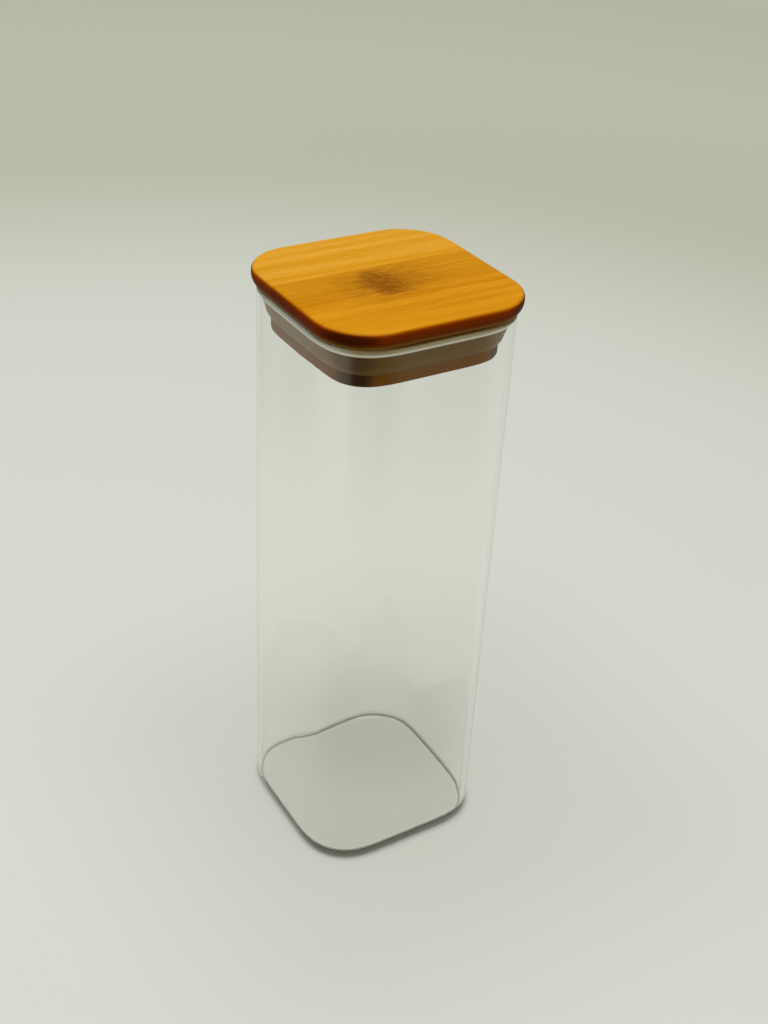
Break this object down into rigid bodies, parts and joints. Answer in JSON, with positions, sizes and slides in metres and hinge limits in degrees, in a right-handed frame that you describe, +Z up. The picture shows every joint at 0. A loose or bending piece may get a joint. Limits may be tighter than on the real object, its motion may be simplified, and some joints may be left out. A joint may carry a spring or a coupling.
{
  "type": "storage jar",
  "caption": "Tall square clear glass storage jar with rounded corners, a lift-off laminated bamboo lid and a silicone seal round its plug.",
  "frame": {"origin": "middle of the surface that the jar stands on", "axes": "+Z up through the jar's middle, +X along the grain of the lid's face, -Y towards the side that faces front"},
  "size_m": [0.1, 0.1, 0.2953],
  "materials": {
    "glass": "clear",
    "bamboo": "satin oiled",
    "silicone": "satin, pale translucent"
  },
  "bodies": {
    "jar": {"glass_jar": "glass"},
    "lid": {"back_strip_1": "bamboo", "back_strip_2": "bamboo", "back_strip_3": "bamboo", "back_strip_4": "bamboo", "face_strip_1": "bamboo", "face_strip_2": "bamboo", "face_strip_3": "bamboo", "face_strip_4": "bamboo", "face_strip_5": "bamboo", "plug_lower_strip_1": "bamboo", "plug_lower_strip_2": "bamboo", "plug_lower_strip_3": "bamboo", "plug_middle_strip_1": "bamboo", "plug_middle_strip_2": "bamboo", "plug_middle_strip_3": "bamboo", "plug_middle_strip_4": "bamboo", "plug_upper_strip_1": "bamboo", "plug_upper_strip_2": "bamboo", "plug_upper_strip_3": "bamboo", "silicone_seal": "silicone"}
  },
  "joints": [
    {"name": "lid_lift", "type": "slide", "parent": "jar", "child": "lid", "axis": [0, 0, 1], "range_m": [0, 0.13]}
  ]
}
